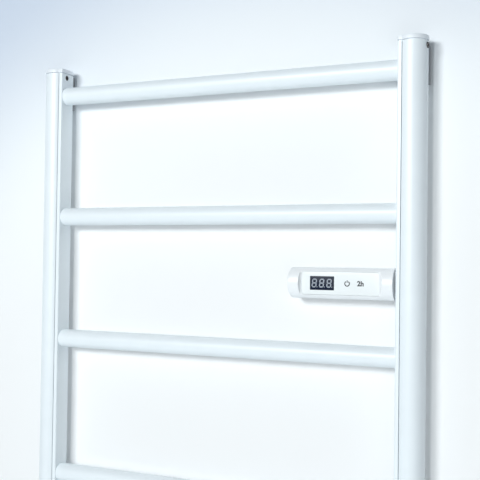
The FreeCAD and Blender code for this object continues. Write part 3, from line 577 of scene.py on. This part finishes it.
def raised_shape(outline, front_y, back_y):
    """Verts and faces of a thin plate with a given (x, z) outline."""
    count = len(outline)
    verts = [(x, front_y, z) for x, z in outline] + [(x, back_y, z) for x, z in outline]
    faces = [tuple(range(count)), tuple(reversed(range(count, 2 * count)))]
    for index in range(count):
        after = (index + 1) % count
        faces.append((index, index + count, after + count, after))
    return verts, faces


def digit_outlines(centre_x):
    """The seven bars and the point of one digit, leaning to the right."""
    half_w = (DIGIT_WIDTH - STROKE) / 2
    half_h = (DIGIT_HEIGHT - STROKE) / 2
    corners = {
        "tl": (-half_w, half_h), "tr": (half_w, half_h),
        "ml": (-half_w, 0), "mr": (half_w, 0),
        "bl": (-half_w, -half_h), "br": (half_w, -half_h),
    }
    level = (("tl", "tr"), ("ml", "mr"), ("bl", "br"))
    upright = (("ml", "tl"), ("bl", "ml"), ("mr", "tr"), ("br", "mr"))
    outlines = [segment_outline(corners[a], corners[b]) for a, b in level + upright]
    point_centre = (half_w + STROKE * POINT_PLACE, -half_h)
    outlines.append([Vector(p) for p in arc_points(point_centre, STROKE * POINT_SIZE, 0, 330, 11)])
    slanted = []
    for outline in outlines:
        slanted.append([(centre_x + p[0] + p[1] * math.tan(SLANT), p[1]) for p in outline])
    return slanted


def make_digits():
    """Three unlit seven-bar digits just proud of the dark window."""
    verts, faces = [], []
    middle_x = (LENS_LOW.x + LENS_HIGH.x) / 2 + DIGIT_SHIFT
    front_y = LENS_LOW.y + DIGIT_FRONT
    back_y = LENS_LOW.y + DIGIT_BACK
    for place in (-1, 0, 1):
        for outline in digit_outlines(middle_x + place * DIGIT_PITCH):
            lifted = [(x, z + UNIT_MID_Z) for x, z in outline]
            more_verts, more_faces = raised_shape(lifted, front_y, back_y)
            offset = len(verts)
            verts += more_verts
            faces += [tuple(index + offset for index in face) for face in more_faces]
    digits = mesh_object("display_digits", verts, faces, SEGMENT_GREY)
    finish_piece(digits, "rail", "led_block")


# middles of the two touch keys, in metres
KEY_LEFT_X = 0.1620
KEY_RIGHT_X = 0.1770
ICON_RADIUS = 2.6 * MM
ICON_STROKE = 1.1 * MM
ICON_PROUD = 0.04 * MM
ICON_SUNK = 0.15 * MM
# where the power ring starts and stops, in degrees, open at its top; and the levels of its bar
RING_START = 122
RING_STOP = 418
BAR_LOW = 1.1 * MM
BAR_HIGH = 3.5 * MM
TIMER_TEXT_SIZE = 7.4 * MM
TIMER_TEXT_WEIGHT = 0.32 * MM


def icon_levels():
    return FASCIA_LOW.y - ICON_PROUD, FASCIA_LOW.y + ICON_SUNK


def make_power_icon():
    """The power symbol: a ring open at the top with a short bar."""
    front_y, back_y = icon_levels()
    centre = (KEY_LEFT_X, UNIT_MID_Z)
    outer = arc_points(centre, ICON_RADIUS + ICON_STROKE / 2, RING_START, RING_STOP, 36)
    inner = arc_points(centre, ICON_RADIUS - ICON_STROKE / 2, RING_STOP, RING_START, 36)
    verts, faces = raised_shape(outer + inner, front_y, back_y)
    bar = [
        (centre[0] + sx * ICON_STROKE / 2, centre[1] + z)
        for sx, z in ((-1, BAR_LOW), (1, BAR_LOW), (1, BAR_HIGH), (-1, BAR_HIGH))
    ]
    more_verts, more_faces = raised_shape(bar, front_y, back_y)
    offset = len(verts)
    verts += more_verts
    faces += [tuple(index + offset for index in face) for face in more_faces]
    icon = mesh_object("power_key_mark", verts, faces, ICON_GREY)
    finish_piece(icon, "rail", "component_black")


def make_timer_icon():
    """The timer key's mark, 2h."""
    front_y, back_y = icon_levels()
    curve = bpy.data.curves.new("timer_key_text", "FONT")
    curve.body = "2h"
    curve.size = TIMER_TEXT_SIZE
    curve.align_x = "CENTER"
    curve.align_y = "CENTER"
    curve.extrude = (back_y - front_y) / 2
    curve.offset = TIMER_TEXT_WEIGHT
    text = bpy.data.objects.new("timer_key_text", curve)
    bpy.context.scene.collection.objects.link(text)
    bpy.context.view_layer.update()
    evaluated = text.evaluated_get(bpy.context.evaluated_depsgraph_get())
    mesh = bpy.data.meshes.new_from_object(evaluated)
    bpy.data.objects.remove(text)
    middle = Matrix.Translation((KEY_RIGHT_X, (front_y + back_y) / 2, UNIT_MID_Z))
    mesh.transform(middle @ Matrix.Rotation(math.pi / 2, 4, "X"))
    mesh.materials.clear()
    mesh.materials.append(ICON_GREY)
    icon = bpy.data.objects.new("timer_key_mark", mesh)
    bpy.context.scene.collection.objects.link(icon)
    finish_piece(icon, "rail", "component_black")


# --- stage, light and camera ------------------------------------------------------------------------

# painted light on the backdrop: a bright middle and darker, bluer edges stand in for light falling off
# across the wall
BACKDROP_SHADE_RAMP = (
    # distance from the painted bright middle in metres, colour
    (0.44, (0.895, 0.900, 0.905)),
    (0.60, (0.950, 0.975, 0.985)),
    (0.76, (0.560, 0.635, 0.755)),
)
BACKDROP_LIT_MIDDLE = (0.06, 0.0, -0.16)


def backdrop_material():
    """Pale paint with painted shade: it darkens slowly away from a brighter middle, as light falling
    off.

    It is clear from behind and lets the lamp behind it through, so that the rail's back can be viewed.
    """
    material, shader = new_material("backdrop_paint_with_painted_falloff")
    tree = material.node_tree
    place = tree.nodes.new("ShaderNodeTexCoord")
    distance = tree.nodes.new("ShaderNodeVectorMath")
    distance.operation = "DISTANCE"
    distance.inputs[1].default_value = BACKDROP_LIT_MIDDLE
    # painted shade: the colour darkens with the distance from the bright middle
    ramp = tree.nodes.new("ShaderNodeValToRGB")
    ramp.color_ramp.interpolation = "B_SPLINE"
    ramp.color_ramp.elements.new(0.5)
    for element, (reach, colour) in zip(ramp.color_ramp.elements, BACKDROP_SHADE_RAMP):
        element.position = reach
        element.color = (*colour, 1)
    link(material, place.outputs["Object"], distance.inputs[0])
    link(material, distance.outputs["Value"], ramp.inputs["Fac"])
    link(material, ramp.outputs["Color"], shader.inputs["Base Color"])
    varied_roughness(material, shader, 0.85, 0.95, 40)
    shader.inputs["Specular IOR Level"].default_value = 0.1
    clear = tree.nodes.new("ShaderNodeBsdfTransparent")
    geometry = tree.nodes.new("ShaderNodeNewGeometry")
    path = tree.nodes.new("ShaderNodeLightPath")
    passing = tree.nodes.new("ShaderNodeMath")
    passing.operation = "MAXIMUM"
    mix = tree.nodes.new("ShaderNodeMixShader")
    output = [node for node in tree.nodes if node.type == "OUTPUT_MATERIAL"][0]
    link(material, geometry.outputs["Backfacing"], passing.inputs[0])
    link(material, path.outputs["Is Shadow Ray"], passing.inputs[1])
    link(material, passing.outputs["Value"], mix.inputs["Fac"])
    link(material, shader.outputs["BSDF"], mix.inputs[1])
    link(material, clear.outputs["BSDF"], mix.inputs[2])
    link(material, mix.outputs["Shader"], output.inputs["Surface"])
    return material


def floor_material():
    material, shader = new_material("floor_paint")
    varied_colour(material, shader, (0.86, 0.88, 0.88), 0.004, 2)
    varied_roughness(material, shader, 0.85, 0.95, 40)
    return material


def stage_plane(name, corners, material):
    mesh = bpy.data.meshes.new(name)
    mesh.from_pydata(corners, [], [(0, 1, 2, 3)])
    mesh.materials.append(material)
    plane = bpy.data.objects.new(name, mesh)
    bpy.context.scene.collection.objects.link(plane)


WALL_Y = 0.4 * MM
FLOOR_Z = -1.05
STAGE_HALF = 3.0
STAGE_TOP = 2.6


def make_stage():
    wall_paint_with_shade = backdrop_material()
    floor_paint = floor_material()
    stage_plane(
        "backdrop",
        [(-STAGE_HALF, WALL_Y, FLOOR_Z), (STAGE_HALF, WALL_Y, FLOOR_Z),
         (STAGE_HALF, WALL_Y, STAGE_TOP), (-STAGE_HALF, WALL_Y, STAGE_TOP)],
        wall_paint_with_shade,
    )
    stage_plane(
        "floor",
        [(-STAGE_HALF, -STAGE_HALF, FLOOR_Z), (STAGE_HALF, -STAGE_HALF, FLOOR_Z),
         (STAGE_HALF, STAGE_HALF, FLOOR_Z), (-STAGE_HALF, STAGE_HALF, FLOOR_Z)],
        floor_paint,
    )


DAYLIGHT = (0.945, 0.985, 1.0)
AIM = Vector((0, 0, 0.12))
LAMPS = (
    # name, azimuth and elevation in degrees, distance, width and height in metres, watts
    ("window_main", -14, 17, 2.6, 0.7, 0.6, 38),
    ("window_front", 1, 8, 3.2, 0.36, 1.2, 27),
    ("lamp_right", 38, -10, 1.4, 0.8, 0.8, 2.4),
    ("lamp_back", 172, 22, 2.4, 1.4, 1.0, 10),
)
AMBIENT_COLOUR = (0.90, 0.96, 1.0, 1)
AMBIENT_STRENGTH = 0.03
EMPTY_COLOUR = (0.80, 0.84, 0.86, 1)


def area_light(name, azimuth, elevation, distance, width, height, power):
    """A soft panel that faces the upper half of the rail; azimuth 0 is straight in front."""
    turn, rise = math.radians(azimuth), math.radians(elevation)
    away = Vector((math.sin(turn) * math.cos(rise), -math.cos(turn) * math.cos(rise), math.sin(rise)))
    data = bpy.data.lights.new(name, "AREA")
    data.shape = "RECTANGLE"
    data.size, data.size_y = width, height
    data.energy = power
    data.color = DAYLIGHT
    lamp = bpy.data.objects.new(name, data)
    lamp.visible_camera = False
    lamp.location = AIM + away * distance
    lamp.rotation_euler = away.to_track_quat("Z", "Y").to_euler()
    bpy.context.scene.collection.objects.link(lamp)


def make_world():
    """Dim cool light all round; the camera alone sees a pale backdrop where nothing else stands."""
    world = bpy.data.worlds.new("studio")
    world.use_nodes = True
    tree = world.node_tree
    dim = tree.nodes["Background"]
    dim.inputs["Color"].default_value = AMBIENT_COLOUR
    dim.inputs["Strength"].default_value = AMBIENT_STRENGTH
    pale = tree.nodes.new("ShaderNodeBackground")
    pale.inputs["Color"].default_value = EMPTY_COLOUR
    path = tree.nodes.new("ShaderNodeLightPath")
    mix = tree.nodes.new("ShaderNodeMixShader")
    tree.links.new(path.outputs["Is Camera Ray"], mix.inputs["Fac"])
    tree.links.new(dim.outputs["Background"], mix.inputs[1])
    tree.links.new(pale.outputs["Background"], mix.inputs[2])
    tree.links.new(mix.outputs["Shader"], tree.nodes["World Output"].inputs["Surface"])
    bpy.context.scene.world = world


def make_light():
    make_world()
    for lamp in LAMPS:
        area_light(*lamp)


# Camera position in metres and angles in degrees.
CAMERA_PLACE = (0.4690, -0.9452, 0.1848)
CAMERA_YAW = 25.40
CAMERA_PITCH = 1.31
CAMERA_ROLL = -0.76
# lens and sensor width in millimetres
CAMERA_LENS = 66.8
CAMERA_SENSOR = 36.0


def make_camera():
    data = bpy.data.cameras.new("camera")
    data.lens = CAMERA_LENS
    data.sensor_width = CAMERA_SENSOR
    camera = bpy.data.objects.new("camera", data)
    yaw, pitch, roll = (math.radians(a) for a in (CAMERA_YAW, CAMERA_PITCH, CAMERA_ROLL))
    turn = Matrix.Rotation(yaw, 4, "Z") @ Matrix.Rotation(math.pi / 2 + pitch, 4, "X")
    camera.matrix_world = Matrix.Translation(CAMERA_PLACE) @ turn @ Matrix.Rotation(-roll, 4, "Z")
    bpy.context.scene.collection.objects.link(camera)
    bpy.context.scene.camera = camera


def set_colour_management():
    bpy.context.scene.view_settings.view_transform = "Standard"
    bpy.context.scene.view_settings.look = "None"
    bpy.context.scene.view_settings.exposure = 0.0


dress_cad_nodes()
for cap_side in (LEFT, RIGHT):
    for cap_end in (1, -1):
        make_cap(cap_side, cap_end)
make_housing()
make_fascia()
make_lens()
make_digits()
make_power_icon()
make_timer_icon()
make_stage()
make_light()
make_camera()
set_colour_management()
